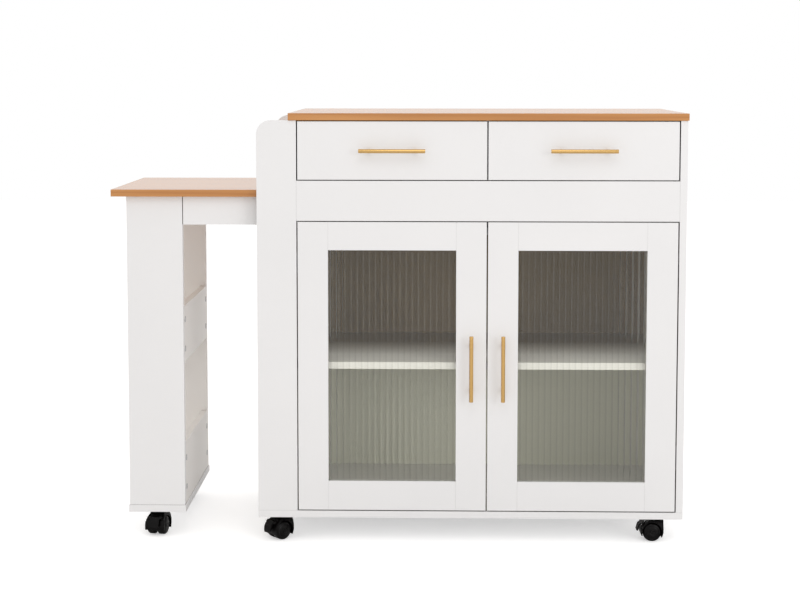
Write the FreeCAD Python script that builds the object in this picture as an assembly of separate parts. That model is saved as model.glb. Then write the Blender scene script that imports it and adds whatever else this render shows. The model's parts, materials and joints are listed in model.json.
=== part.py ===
import FreeCAD, Part
import math
import os
from FreeCAD import Vector

# A kitchen island on casters.  A white board cabinet under an oak worktop has two inset drawers, a
# blank fascia and two framed doors with reeded glass.  A side table slides out of the cabinet's left
# side, through an open rack nook, and its outer end stands on a narrow leg box with casters of its own.
#
# Millimetres.  The drawings below use X = 0 at the rack panel's left edge (X to the right), Y = 0 at
# the front face of doors and drawers (Y to the back) and Z = 0 on the floor.  save() then moves every
# piece so that the origin is on the floor below the middle of the whole object at rest.

# ---- boards and heights ----------------------------------------------------------------------
BOARD = 15.0                 # every structural board
BACK_T = 5.0                 # thin back panel
TOP_T = 15.0                 # oak worktop
CASTER_H = 53.0              # floor to the underside of the bottom boards
DOOR_OPENING_H = 622.0
FASCIA_H = 85.0
DRAWER_OPENING_H = 127.0

# ---- plan sizes ------------------------------------------------------------------------------
RACK_W = 84.0                # rack panels, over the nook and the left side boards
OPENING_W = 806.0            # between the rack panel and the right side board
BODY_D = 440.0
TOP_OVERHANG = 2.0           # worktop past the side boards
TOP_OVERHANG_FRONT = 3.0
TOP_OVERHANG_BACK = 7.0
TOP_EDGE_R = 1.0
RACK_CORNER_R = 30.0
DIVIDER_SETBACK = 18.0       # front edges of the boards behind the doors and drawers
RACK_SHELF_COUNT = 2

# ---- gaps round doors and drawers ------------------------------------------------------------
GAP_SIDE = 2.5
GAP_MID = 3.0
GAP_FLAT = 2.0               # above and below each front

# ---- doors -----------------------------------------------------------------------------------
STILE_W = 64.0
RAIL_TOP_W = 60.0
RAIL_BOTTOM_W = 63.0
REBATE_W = 8.0               # ledge behind the frame that holds the glass
REBATE_LIP = 6.0             # frame left in front of the glass
GLASS_T = 4.0
GLASS_PLAY = 1.0
REED_PITCH = 12.5
REED_DEPTH = 1.4
SHELF_Z = 371.0              # underside of the inner shelf
SHELF_SETBACK = 22.0
SHELF_PLAY = 1.0
SUPPORT_L = 16.0             # angle-shaped shelf supports
SUPPORT_W = 12.0
SUPPORT_T = 2.0
SUPPORT_INSET = 45.0

# ---- door hinges -----------------------------------------------------------------------------
HINGE_FROM_TOP = 92.0
HINGE_FROM_BOTTOM = 115.0
HINGE_PIN_IN = 7.0           # pin axis in from the door's edge
HINGE_PIN_DEEP = 5.0         # pin axis behind the door's front face
HINGE_PIN_R = 0.8
HINGE_FIT = 0.06             # pin to its bore, radial
HINGE_H = 40.0
HINGE_POCKET_W = 10.5
HINGE_POCKET_SKIN = 2.2      # door face left in front of the pocket
HINGE_POCKET_PLAY = 5.0      # pocket above and below the arm
HINGE_BLADE_T = 3.0
HINGE_PLATE_T = 2.0
HINGE_PLATE_L = 45.0
HINGE_REST = 2.5             # arm behind the door's rear face
CUP_R = 17.5
CUP_DEPTH = 11.0
CUP_PLAY = 0.2
CUP_IN = 30.0                # cup axis in from the door's edge
CUP_FLANGE_W = 38.0
CUP_FLANGE_H = 52.0
CUP_FLANGE_T = 1.2

# ---- handles ---------------------------------------------------------------------------------
BAR_R = 4.25
BAR_LEN = 140.0
HANDLE_REACH = 28.0          # door face to the front of the bar
POST_R = 3.25
POST_PITCH = 96.0

# ---- drawers ---------------------------------------------------------------------------------
DRAWER_SIDE_T = 12.0
DRAWER_SIDE_H = 90.0
DRAWER_LIFT = 12.0           # box above the divider
DRAWER_BACK_PLAY = 26.0
DRAWER_BOTTOM_T = 4.0
DRAWER_BOTTOM_UP = 8.0       # bottom board above the lower edge of the sides
DRAWER_GROOVE = 5.0
SLIDE_W = 13.0               # room for a slide on each side of the box
SLIDE_H = 35.0
SLIDE_SKIN = 1.5
SLIDE_PLAY = 1.5
SLIDE_UP = 12.0              # slide above the lower edge of the box

# ---- side table ------------------------------------------------------------------------------
TABLE_T = 15.0
TABLE_OUT = 313.0            # tabletop's end, outside the rack panel, at rest
TABLE_END_PLAY = 47.0        # inner end to the right side board, pushed in
TABLE_SIDE_PLAY = 7.5        # long edges to the rack panels
TABLE_BACK_PLAY = 3.5        # rear edge to the back panel
APRON_H = 61.0
APRON_SETBACK = 15.5         # apron behind the tabletop's long edges
TABLE_HEADROOM = 6.0         # tabletop under the upper divider
TABLE_FOOTROOM = 4.0         # aprons over the lower divider
GLIDE_GAP = 0.4
GLIDE_LEN = 43.0
GUIDE_H = 20.0
GUIDE_PLAY = 1.0
TABLE_IN_TRAVEL = 160.0
TABLE_OUT_TRAVEL = 300.0
STOP_GAP = 3.0

# ---- leg box of the side table ---------------------------------------------------------------
LEG_W = 120.0
LEG_OVERHANG = 30.0          # tabletop past the leg box
LEG_FOOT = 2.0               # bottom board proud of the panels
LEG_SHELF_Z = 377.0
LEG_RAIL_H = 123.0
LEG_LOW_RAIL_H = 135.0
LEG_SHELF_SETBACK = 4.0

# ---- casters ---------------------------------------------------------------------------------
WHEEL_R = 20.0
WHEEL_HALF_W = 21.5          # middle of the pair to its outer face
AXLE_R = 3.0
RUNNING_FIT = 0.08
TRAIL = 12.0                 # wheel axle behind the swivel axis
WEB_HALF_T = 3.2
WEB_GAP = 0.7
FENDER_GAP = 1.5
FENDER_T = 2.5
FENDER_HIGH = 118.0          # the fender's ends, as angles round the axle
FENDER_LOW = 197.0
HOOD_CHIN = 3.0              # hood's lower front corner, back from its front
HOOD_HALF_W = 22.0
SHOULDER_Z = 30.0            # the hood's sides lean in above this
BROW_HALF_W = 19.5           # and lean in more above this half width
BROW_Z = 40.0
NECK_R = 14.0
KINGPIN_R = 4.0
HEAD_GAP = 0.3
PLATE_W = 42.0
PLATE_T = 3.0
CASTER_IN_X = 50.0
CASTER_IN_Y = 36.0
LEG_CASTER_IN_Y = 30.0
LEVER_R = 27.0               # brake pivot from the axle
LEVER_ANGLE = 136.0
LEVER_HALF_W = 11.0
LEVER_T = 3.0
FLAP_BEND = 18.0             # round the axle from the brake pivot to the flap's bend
FLAP_SPAN = 41.0             # and to its end
FLAP_RISE = 2.5              # the flap's outer part stands off this much more
LEVER_PIN_R = 1.2
LEVER_KNUCKLE_R = 3.2
LEVER_EAR_T = 3.4
LEVER_PLAY = 0.4
SHOE_GAP = 0.4
SHOE_INSET = 3.0             # shoe narrower than the lever, on each side
BRAKE_THROW = 12.0

# ---- levels and lines worked out from the sizes above ----------------------------------------
DECK_Z = CASTER_H + BOARD
DOOR_TOP_Z = DECK_Z + DOOR_OPENING_H
FASCIA_TOP_Z = DOOR_TOP_Z + FASCIA_H
BODY_TOP_Z = FASCIA_TOP_Z + DRAWER_OPENING_H
TOP_Z = BODY_TOP_Z + TOP_T
OPENING_X0 = RACK_W
OPENING_X1 = RACK_W + OPENING_W
CABINET_W = OPENING_X1 + BOARD
SIDE_X0 = RACK_W - BOARD
RACK_BACK_Y0 = BODY_D - BOARD
TABLE_Y0 = BOARD + TABLE_SIDE_PLAY
TABLE_Y1 = RACK_BACK_Y0 - TABLE_SIDE_PLAY
BACK_Y0 = TABLE_Y1 + TABLE_BACK_PLAY
BACK_Y1 = BACK_Y0 + BACK_T
DRAWER_LEN = BACK_Y0 - DRAWER_BACK_PLAY - BOARD
MIDDLE_X = (OPENING_X0 + OPENING_X1) / 2
FRONT_W = (OPENING_W - 2 * GAP_SIDE - GAP_MID) / 2
LEFT_FRONT_X = OPENING_X0 + GAP_SIDE
RIGHT_FRONT_X = OPENING_X1 - GAP_SIDE - FRONT_W
TOP_X0 = SIDE_X0 - TOP_OVERHANG
TOP_X1 = CABINET_W + TOP_OVERHANG
DOOR_Z0 = DECK_Z + GAP_FLAT
DOOR_Z1 = DOOR_TOP_Z - GAP_FLAT
DRAWER_Z0 = FASCIA_TOP_Z + GAP_FLAT
DRAWER_Z1 = BODY_TOP_Z - GAP_FLAT
UPPER_DIVIDER_Z = FASCIA_TOP_Z - BOARD
TABLE_TOP_Z = UPPER_DIVIDER_Z - TABLE_HEADROOM
TABLE_X0 = -TABLE_OUT
TABLE_X1 = OPENING_X1 - TABLE_END_PLAY - TABLE_IN_TRAVEL
APRON_TOP_Z = TABLE_TOP_Z - TABLE_T
APRON_Z0 = APRON_TOP_Z - APRON_H
LEG_Y0 = TABLE_Y0 + APRON_SETBACK
LEG_Y1 = TABLE_Y1 - APRON_SETBACK
LEG_X0 = TABLE_X0 + LEG_OVERHANG
LEG_X1 = LEG_X0 + LEG_W
LOWER_DIVIDER_Z1 = APRON_Z0 - TABLE_FOOTROOM
LOWER_DIVIDER_Z0 = LOWER_DIVIDER_Z1 - BOARD
HINGE_LEVELS = (DOOR_Z0 + HINGE_FROM_BOTTOM, DOOR_Z1 - HINGE_FROM_TOP)
NECK_Z = CASTER_H - PLATE_T - HEAD_GAP
ORIGIN = Vector((TABLE_X0 + TOP_X1) / 2, (BODY_D + TOP_OVERHANG_BACK - HANDLE_REACH) / 2, 0)


# ---- helpers ---------------------------------------------------------------------------------
def board(x0, x1, y0, y1, z0, z1):
    """A square-edged board between two corners."""
    return Part.makeBox(x1 - x0, y1 - y0, z1 - z0, Vector(x0, y0, z0))


def rod(centre, radius, length, axis):
    """A round bar whose middle is at centre."""
    direction = Vector(*axis)
    return Part.makeCylinder(radius, length, Vector(*centre) - direction * (length / 2), direction)


def outline(start, *steps):
    """Closed wire in X and Z: a step is a point for a straight side, or two points for an arc."""
    edges = []
    here = Vector(start[0], 0, start[1])
    for step in steps + (start,):
        if isinstance(step[0], tuple):
            through, end = (Vector(p[0], 0, p[1]) for p in step)
            edges.append(Part.Arc(here, through, end).toShape())
        else:
            end = Vector(step[0], 0, step[1])
            edges.append(Part.makeLine(here, end))
        here = end
    return Part.Wire(edges)


def prism(wire, y0, y1):
    """The wire's face, drawn out along Y from y0 to y1."""
    face = Part.Face(wire)
    face.translate(Vector(0, y0, 0))
    return face.extrude(Vector(0, y1 - y0, 0))


def mirror_x(shape, x):
    """The shape's mirror image across the upright plane at x."""
    return shape.mirror(Vector(x, 0, 0), Vector(1, 0, 0))


def mirror_y(shape, y):
    """The shape's mirror image across the upright plane at y."""
    return shape.mirror(Vector(0, y, 0), Vector(0, 1, 0))


def save(node, *solids):
    """Write one node, moved to the object's own origin."""
    shape = solids[0] if len(solids) == 1 else Part.makeCompound(list(solids))
    shape = shape.copy()
    shape.translate(ORIGIN * -1)
    shape.exportStep(f"parts/{node}.step")


# ---- cabinet ---------------------------------------------------------------------------------
def countertop():
    """Worktop board with eased upper edges."""
    top = board(TOP_X0, TOP_X1, -TOP_OVERHANG_FRONT, BODY_D + TOP_OVERHANG_BACK, BODY_TOP_Z, TOP_Z)
    upper = [edge for edge in top.Edges if edge.BoundBox.ZMin > TOP_Z - TOP_T / 2]
    return top.makeFillet(min(TOP_EDGE_R, TOP_T / 3), upper)


def left_side():
    """Side board in two pieces: the table passes between them."""
    lower = board(SIDE_X0, OPENING_X0, BOARD, RACK_BACK_Y0, DECK_Z, LOWER_DIVIDER_Z1)
    upper = board(SIDE_X0, OPENING_X0, BOARD, RACK_BACK_Y0, UPPER_DIVIDER_Z, BODY_TOP_Z)
    return lower, upper


def right_side():
    """Full-height side board."""
    return board(OPENING_X1, CABINET_W, 0, BODY_D, DECK_Z, BODY_TOP_Z)


def rack_panel():
    """Rack panel with its outer top corner rounded, at the front."""
    radius = min(RACK_CORNER_R, RACK_W / 2)
    slant = radius * (1 - math.sqrt(0.5))
    arc = ((slant, BODY_TOP_Z - slant), (radius, BODY_TOP_Z))
    wire = outline((0, DECK_Z), (0, BODY_TOP_Z - radius), arc, (RACK_W, BODY_TOP_Z), (RACK_W, DECK_Z))
    return prism(wire, 0, BOARD)


def rack_shelves():
    """Open shelves of the nook, evenly spaced under the side table."""
    step = (APRON_Z0 - DECK_Z) / (RACK_SHELF_COUNT + 1)
    levels = [DECK_Z + step * (i + 1) - BOARD / 2 for i in range(RACK_SHELF_COUNT)]
    return [board(0, SIDE_X0, BOARD, RACK_BACK_Y0, z, z + BOARD) for z in levels]


def shelf_supports():
    """Four small angles under the inner shelf: one leg on the side board, one under the shelf."""
    supports = []
    for y in (SHELF_SETBACK + SUPPORT_INSET, BACK_Y0 - SUPPORT_INSET):
        x0, z0, z1 = OPENING_X0, SHELF_Z - SUPPORT_L, SHELF_Z
        upright = board(x0, x0 + SUPPORT_T, y, y + SUPPORT_W, z0, z1)
        ledge = board(x0, x0 + SUPPORT_L, y, y + SUPPORT_W, z1 - SUPPORT_T, z1)
        left = upright.fuse(ledge).removeSplitter()
        supports += [left, mirror_x(left, MIDDLE_X)]
    return supports


# ---- doors -----------------------------------------------------------------------------------
def glass_opening(x0):
    """Corners of the clear opening of a door whose left edge is at x0."""
    return x0 + STILE_W, x0 + FRONT_W - STILE_W, DOOR_Z0 + RAIL_BOTTOM_W, DOOR_Z1 - RAIL_TOP_W


def hinge_pocket(x0, z):
    """Room behind the door's face for one hinge arm, at the door's left edge."""
    half = HINGE_H / 2 + HINGE_POCKET_PLAY
    pocket = board(x0, x0 + HINGE_POCKET_W, HINGE_POCKET_SKIN, BOARD, z - half, z + half)
    cup = rod((x0 + CUP_IN, BOARD - CUP_DEPTH / 2, z), CUP_R, CUP_DEPTH, (0, 1, 0))
    return pocket.fuse(cup)


def pin_centre(x0, z):
    """Middle of a hinge pin for a door whose left edge is at x0."""
    return x0 + HINGE_PIN_IN, HINGE_PIN_DEEP, z


def pin_length():
    """The pin spans its pocket."""
    return HINGE_H + 2 * HINGE_POCKET_PLAY


def door_frame(x0):
    """Stiles, rails and glass beads of the left door."""
    gx0, gx1, gz0, gz1 = glass_opening(x0)
    rebate = board(gx0 - REBATE_W, gx1 + REBATE_W, REBATE_LIP, BOARD, gz0 - REBATE_W, gz1 + REBATE_W)
    pockets = [hinge_pocket(x0, z) for z in HINGE_LEVELS]
    members = [
        board(x0, gx0, 0, BOARD, DOOR_Z0, DOOR_Z1).cut(pockets),
        board(gx1, x0 + FRONT_W, 0, BOARD, DOOR_Z0, DOOR_Z1),
        board(gx0, gx1, 0, BOARD, DOOR_Z0, gz0),
        board(gx0, gx1, 0, BOARD, gz1, DOOR_Z1),
    ]
    return [member.cut(rebate) for member in members] + glass_beads(x0)


def glass_beads(x0):
    """Four strips that hold the glass from behind."""
    gx0, gx1, gz0, gz1 = glass_opening(x0)
    y0 = REBATE_LIP + GLASS_T
    return [
        board(gx0 - REBATE_W, gx0, y0, BOARD, gz0 - REBATE_W, gz1 + REBATE_W),
        board(gx1, gx1 + REBATE_W, y0, BOARD, gz0 - REBATE_W, gz1 + REBATE_W),
        board(gx0, gx1, y0, BOARD, gz0 - REBATE_W, gz0),
        board(gx0, gx1, y0, BOARD, gz1, gz1 + REBATE_W),
    ]


def reeded_glass(x0):
    """Glass pane, flat in front, with a row of upright rounded reeds behind."""
    gx0, gx1, gz0, gz1 = glass_opening(x0)
    left = gx0 - REBATE_W + GLASS_PLAY
    right = gx1 + REBATE_W - GLASS_PLAY
    low = gz0 - REBATE_W + GLASS_PLAY
    high = gz1 + REBATE_W - GLASS_PLAY
    count = max(1, round((right - left) / REED_PITCH))
    pitch = (right - left) / count
    valley = REBATE_LIP + GLASS_T - REED_DEPTH
    crest = REBATE_LIP + GLASS_T
    corners = [Vector(left + pitch * i, valley, low) for i in range(count + 1)]
    edges = [Part.makeLine(Vector(left, REBATE_LIP, low), corners[0])]
    for a, b in zip(corners, corners[1:]):
        edges.append(Part.Arc(a, Vector((a.x + b.x) / 2, crest, low), b).toShape())
    edges.append(Part.makeLine(corners[-1], Vector(right, REBATE_LIP, low)))
    edges.append(Part.makeLine(Vector(right, REBATE_LIP, low), Vector(left, REBATE_LIP, low)))
    return Part.Face(Part.Wire(edges)).extrude(Vector(0, 0, high - low))


def hinge_cups(x0):
    """Cup, flange and pin of each hinge, on the left door."""
    pieces = []
    for z in HINGE_LEVELS:
        middle = x0 + CUP_IN
        cup = rod((middle, BOARD - CUP_DEPTH / 2, z), CUP_R - CUP_PLAY, CUP_DEPTH, (0, 1, 0))
        half_w, half_h = CUP_FLANGE_W / 2, CUP_FLANGE_H / 2
        flange = board(middle - half_w, middle + half_w, BOARD, BOARD + CUP_FLANGE_T, z - half_h, z + half_h)
        pieces.append(cup.fuse(flange).removeSplitter())
        pieces.append(rod(pin_centre(x0, z), HINGE_PIN_R, pin_length(), (0, 0, 1)))
    return pieces


def hinge_arms(x_face):
    """Fixed halves of the left door's hinges: bored blade and plate on the side board's face."""
    arms = []
    x_pin = x_face + GAP_SIDE + HINGE_PIN_IN
    y_plate = BOARD + HINGE_REST
    half = HINGE_BLADE_T / 2
    for z in HINGE_LEVELS:
        z0, z1 = z - HINGE_H / 2, z + HINGE_H / 2
        centre = (x_pin, HINGE_PIN_DEEP, z)
        blade = board(x_pin - half, x_pin + half, HINGE_PIN_DEEP - half, y_plate + HINGE_PLATE_T, z0, z1)
        cross = board(x_face, x_pin + half, y_plate, y_plate + HINGE_PLATE_T, z0, z1)
        plate = board(x_face, x_face + HINGE_PLATE_T, y_plate, y_plate + HINGE_PLATE_L, z0, z1)
        bore = rod(centre, HINGE_PIN_R + HINGE_FIT, HINGE_H, (0, 0, 1))
        arms.append(blade.fuse([cross, plate]).removeSplitter().cut(bore))
    return arms


def handle(x, z, axis):
    """Round bar on two posts, its middle in front of (x, z), along X or Z."""
    along = Vector(*axis)
    y_bar = BAR_R - HANDLE_REACH
    bar = rod((x, y_bar, z), BAR_R, BAR_LEN, axis)
    posts = []
    for side in (-1, 1):
        foot = Vector(x, 0, z) + along * (side * POST_PITCH / 2)
        posts.append(Part.makeCylinder(POST_R, -y_bar, foot, Vector(0, -1, 0)))
    return bar.fuse(posts)


# ---- drawers ---------------------------------------------------------------------------------
def drawer_room(side):
    """X of the walls on both sides of the left (-1) or right (1) drawer."""
    if side < 0:
        return OPENING_X0, MIDDLE_X - BOARD / 2
    return MIDDLE_X + BOARD / 2, OPENING_X1


def drawer_box(side):
    """Two sides, a back and a grooved-in bottom behind the drawer's front."""
    x0, x1 = drawer_room(side)
    x0, x1 = x0 + SLIDE_W, x1 - SLIDE_W
    y0, y1 = BOARD, BOARD + DRAWER_LEN
    z0 = FASCIA_TOP_Z + DRAWER_LIFT
    z1 = z0 + DRAWER_SIDE_H
    zb = z0 + DRAWER_BOTTOM_UP
    inner0, inner1 = x0 + DRAWER_SIDE_T, x1 - DRAWER_SIDE_T
    bottom = board(inner0 - DRAWER_GROOVE, inner1 + DRAWER_GROOVE, y0, y1, zb, zb + DRAWER_BOTTOM_T)
    back = board(inner0, inner1, y1 - DRAWER_SIDE_T, y1, zb + DRAWER_BOTTOM_T, z1)
    left = board(x0, inner0, y0, y1, z0, z1).cut(bottom)
    right = board(inner1, x1, y0, y1, z0, z1).cut(bottom)
    return left, right, back, bottom


def slide_levels():
    """Lower and upper edge of the drawer slides."""
    z0 = FASCIA_TOP_Z + DRAWER_LIFT + SLIDE_UP
    return z0, z0 + SLIDE_H


def slide_rail(x_wall, turn):
    """Fixed C-shaped rail on a wall, open towards turn (-1 or 1)."""
    z0, z1 = slide_levels()
    depth = SLIDE_W - SLIDE_PLAY
    y0, y1 = DIVIDER_SETBACK + SLIDE_PLAY, BOARD + DRAWER_LEN
    far = x_wall + turn * depth
    near = x_wall + turn * SLIDE_SKIN
    rail = board(min(x_wall, far), max(x_wall, far), y0, y1, z0, z1)
    room = board(min(near, far), max(near, far), y0, y1, z0 + SLIDE_SKIN, z1 - SLIDE_SKIN)
    return rail.cut(room)


def drawer_slide_rails():
    """The four fixed rails."""
    rails = []
    for side in (-1, 1):
        x0, x1 = drawer_room(side)
        rails += [slide_rail(x0, 1), slide_rail(x1, -1)]
    return rails


def drawer_runners(side):
    """Bars on the drawer's sides that run in the rails."""
    x0, x1 = drawer_room(side)
    z0, z1 = slide_levels()
    z0 += SLIDE_SKIN + SLIDE_PLAY
    z1 -= SLIDE_SKIN + SLIDE_PLAY
    reach = SLIDE_W - SLIDE_SKIN - SLIDE_PLAY
    y0, y1 = BOARD + SLIDE_PLAY, BOARD + DRAWER_LEN
    left = board(x0 + SLIDE_W - reach, x0 + SLIDE_W, y0, y1, z0, z1)
    right = board(x1 - SLIDE_W, x1 - SLIDE_W + reach, y0, y1, z0, z1)
    return left, right


# ---- side table ------------------------------------------------------------------------------
def tabletop():
    """Oak board of the side table."""
    top = board(TABLE_X0, TABLE_X1, TABLE_Y0, TABLE_Y1, APRON_TOP_Z, TABLE_TOP_Z)
    upper = [edge for edge in top.Edges if edge.BoundBox.ZMin > TABLE_TOP_Z - TABLE_T / 2]
    return top.makeFillet(min(TOP_EDGE_R, TABLE_T / 3), upper)


def both_sides(y0, make):
    """A piece against the leg box's front plane, and its copy at the back."""
    front = make(y0)
    return front, mirror_y(front, BODY_D / 2)


def aprons():
    """Long rails under the tabletop, front and back."""
    return both_sides(LEG_Y0, lambda y: board(LEG_X1, TABLE_X1, y, y + BOARD, APRON_Z0, APRON_TOP_Z))


def cross_rails():
    """Short rails between the aprons: one at the inner end, one beside the leg box."""
    y0, y1 = LEG_Y0 + BOARD, LEG_Y1 - BOARD
    inner = board(TABLE_X1 - BOARD, TABLE_X1, y0, y1, APRON_Z0, APRON_TOP_Z)
    outer = board(LEG_X1 - BOARD, LEG_X1, y0, y1, APRON_Z0, APRON_TOP_Z)
    return inner, outer


def glides():
    """Slippery pads under the aprons' inner ends."""
    low = LOWER_DIVIDER_Z1 + GLIDE_GAP
    return both_sides(LEG_Y0, lambda y: board(TABLE_X1 - GLIDE_LEN, TABLE_X1, y, y + BOARD, low, APRON_Z0))


def guide_rails():
    """Battens on the lower divider that steer the aprons; the inner cross rail stops against them."""
    x1 = TABLE_X1 - BOARD - TABLE_OUT_TRAVEL - STOP_GAP
    z0 = LOWER_DIVIDER_Z1
    y0 = LEG_Y0 + BOARD + GUIDE_PLAY
    return both_sides(y0, lambda y: board(OPENING_X0, x1, y, y + BOARD, z0, z0 + GUIDE_H))


def leg_panel():
    """Front panel of the leg box."""
    return board(LEG_X0, LEG_X1, LEG_Y0, LEG_Y0 + BOARD, DECK_Z, APRON_TOP_Z)


def leg_bottom():
    """Bottom board of the leg box, a little proud all round."""
    return board(LEG_X0 - LEG_FOOT, LEG_X1 + LEG_FOOT, LEG_Y0 - LEG_FOOT, LEG_Y1 + LEG_FOOT, CASTER_H, DECK_Z)


def leg_rails():
    """Guard rails on the leg box's inner face, above the shelf and above the bottom board."""
    x0, x1 = LEG_X1 - BOARD, LEG_X1
    y0, y1 = LEG_Y0 + BOARD, LEG_Y1 - BOARD
    upper = board(x0, x1, y0, y1, LEG_SHELF_Z, LEG_SHELF_Z + LEG_RAIL_H)
    lower = board(x0, x1, y0, y1, DECK_Z, DECK_Z + LEG_LOW_RAIL_H)
    return upper, lower


def leg_shelf():
    """Shelf of the leg box, open to the outer side."""
    x0, x1 = LEG_X0 + LEG_SHELF_SETBACK, LEG_X1 - BOARD
    return board(x0, x1, LEG_Y0 + BOARD, LEG_Y1 - BOARD, LEG_SHELF_Z, LEG_SHELF_Z + BOARD)


# ---- casters: drawn with the swivel axis at X = Y = 0 and the wheels trailing towards -X --------
def ring_point(radius, degrees):
    """Point at an angle round the axle, in X and Z."""
    angle = math.radians(degrees)
    return -TRAIL + radius * math.cos(angle), WHEEL_R + radius * math.sin(angle)


def caster_plate():
    """Screw plate, bored for the kingpin."""
    half = PLATE_W / 2
    plate = board(-half, half, -half, half, CASTER_H - PLATE_T, CASTER_H)
    bore = Part.makeCylinder(KINGPIN_R + RUNNING_FIT, PLATE_T, Vector(0, 0, CASTER_H - PLATE_T))
    return plate.cut(bore)


def wheel_pair():
    """Two disc wheels on one axle."""
    inner = WEB_HALF_T + WEB_GAP
    width = WHEEL_HALF_W - inner
    axle = rod((-TRAIL, 0, WHEEL_R), AXLE_R, 2 * inner, (0, 1, 0))
    left = rod((-TRAIL, inner + width / 2, WHEEL_R), WHEEL_R, width, (0, 1, 0))
    return axle.fuse([left, mirror_y(left, 0)])


def wheel_room():
    """The space that the two wheels turn in, on both sides of the hood's web."""
    radius = WHEEL_R + FENDER_GAP
    length = WHEEL_HALF_W
    sides = []
    for sign in (-1, 1):
        centre = (-TRAIL, sign * (WEB_HALF_T + length / 2), WHEEL_R)
        sides.append(rod(centre, radius, length, (0, 1, 0)))
    return sides


def hood_body():
    """Fender, web and neck in one: the side view crossed with the bevelled end view."""
    fender = WHEEL_R + FENDER_GAP + FENDER_T
    crown = (FENDER_HIGH + FENDER_LOW) / 2
    front = fender - TRAIL
    side = outline(ring_point(fender, FENDER_LOW), (ring_point(fender, crown), ring_point(fender, FENDER_HIGH)),
                   (-NECK_R, NECK_Z), (front, NECK_Z), (front, WHEEL_R), (front - HOOD_CHIN, WHEEL_R / 2))
    half = HOOD_HALF_W
    end = outline((-half, 0), (-half, SHOULDER_Z), (-BROW_HALF_W, BROW_Z), (-NECK_R, NECK_Z),
                  (NECK_R, NECK_Z), (BROW_HALF_W, BROW_Z), (half, SHOULDER_Z), (half, 0))
    across = prism(end, -2 * half, 2 * half)
    across.rotate(Vector(0, 0, 0), Vector(0, 0, 1), 90)
    return prism(side, -half, half).common(across)


def lever_pivot():
    """X and Z of the brake lever's pin."""
    return ring_point(LEVER_R, LEVER_ANGLE)


def lever_ears():
    """Two lugs on the hood that hold the brake lever's pin."""
    root_a = ring_point(WHEEL_R + FENDER_GAP, LEVER_ANGLE - 10)
    root_b = ring_point(WHEEL_R + FENDER_GAP, LEVER_ANGLE + 10)
    tip_a = ring_point(LEVER_R + LEVER_KNUCKLE_R, LEVER_ANGLE - 6)
    tip_b = ring_point(LEVER_R + LEVER_KNUCKLE_R, LEVER_ANGLE + 6)
    ears = []
    for sign in (-1, 1):
        inner = sign * (LEVER_HALF_W + LEVER_PLAY)
        outer = inner + sign * LEVER_EAR_T
        ears.append(prism(outline(root_a, tip_a, tip_b, root_b), min(inner, outer), max(inner, outer)))
    return ears


def lever_window():
    """Opening in the hood for the lever's knuckle and shoe."""
    half = LEVER_HALF_W + LEVER_PLAY
    reach = LEVER_KNUCKLE_R + LEVER_PLAY
    length = reach + shoe_length() + LEVER_PLAY
    window = Part.makeBox(length, 2 * half, 4 * reach, Vector(reach - length, -half, -2 * reach))
    window.rotate(Vector(0, 0, 0), Vector(0, 1, 0), -LEVER_ANGLE)
    px, pz = lever_pivot()
    window.translate(Vector(px, 0, pz))
    return window


def caster_hood(braked):
    """Hood with its kingpin; a braked one has lugs and a window for the brake lever."""
    hood = hood_body()
    if braked:
        px, pz = lever_pivot()
        bore = rod((px, 0, pz), LEVER_PIN_R + HINGE_FIT, 4 * LEVER_HALF_W, (0, 1, 0))
        hood = hood.cut(lever_window()).fuse(lever_ears()).cut(bore)
    axle_bore = rod((-TRAIL, 0, WHEEL_R), AXLE_R + RUNNING_FIT, 4 * WEB_HALF_T, (0, 1, 0))
    hood = hood.cut(wheel_room() + [axle_bore])
    kingpin = Part.makeCylinder(KINGPIN_R, PLATE_T + HEAD_GAP, Vector(0, 0, NECK_Z))
    return hood.fuse(kingpin).removeSplitter()


def shoe_length():
    """From the brake pivot to just off the tread when the lever is down."""
    return LEVER_R - WHEEL_R - SHOE_GAP


def brake_shoe():
    """Block below the brake pivot, hollowed to the treads as they lie when the lever is down."""
    half = LEVER_HALF_W - SHOE_INSET
    block = board(-LEVER_KNUCKLE_R, LEVER_T - LEVER_KNUCKLE_R, -half, half, WHEEL_R - LEVER_R, 0)
    return block.cut(rod((0, 0, -LEVER_R), WHEEL_R + SHOE_GAP, 2 * half, (0, 1, 0)))


def brake_lever():
    """Foot lever, released: knuckle, pin, bent flap and the shoe that presses on the treads."""
    px, pz = lever_pivot()
    half = LEVER_HALF_W
    knuckle = rod((px, 0, pz), LEVER_KNUCKLE_R, 2 * half, (0, 1, 0))
    pin = rod((px, 0, pz), LEVER_PIN_R, 2 * (half + LEVER_PLAY + LEVER_EAR_T), (0, 1, 0))
    outer, bend, end = LEVER_R + LEVER_T, LEVER_ANGLE + FLAP_BEND, LEVER_ANGLE + FLAP_SPAN
    flap = prism(outline(
        ring_point(outer, LEVER_ANGLE), ring_point(outer + FLAP_RISE, bend), ring_point(outer + FLAP_RISE, end),
        ring_point(LEVER_R + FLAP_RISE, end), ring_point(LEVER_R + FLAP_RISE / 2, bend),
        ring_point(LEVER_R, LEVER_ANGLE)), -half, half)
    shoe = brake_shoe()
    shoe.rotate(Vector(0, 0, 0), Vector(0, 1, 0), 90 - LEVER_ANGLE + BRAKE_THROW)
    shoe.translate(Vector(px, 0, pz))
    return knuckle.fuse([pin, flap, shoe]).removeSplitter()


# ---- where the casters stand: name, swivel X and Y, heading at rest, brake ----------------------
HEADING_FRONT_LEFT = 42.0
HEADING_FRONT_RIGHT = 0.0
HEADING_BACK_LEFT = -20.0
HEADING_BACK_RIGHT = 165.0
HEADING_LEG_FRONT = 80.0
HEADING_LEG_BACK = 105.0


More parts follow.
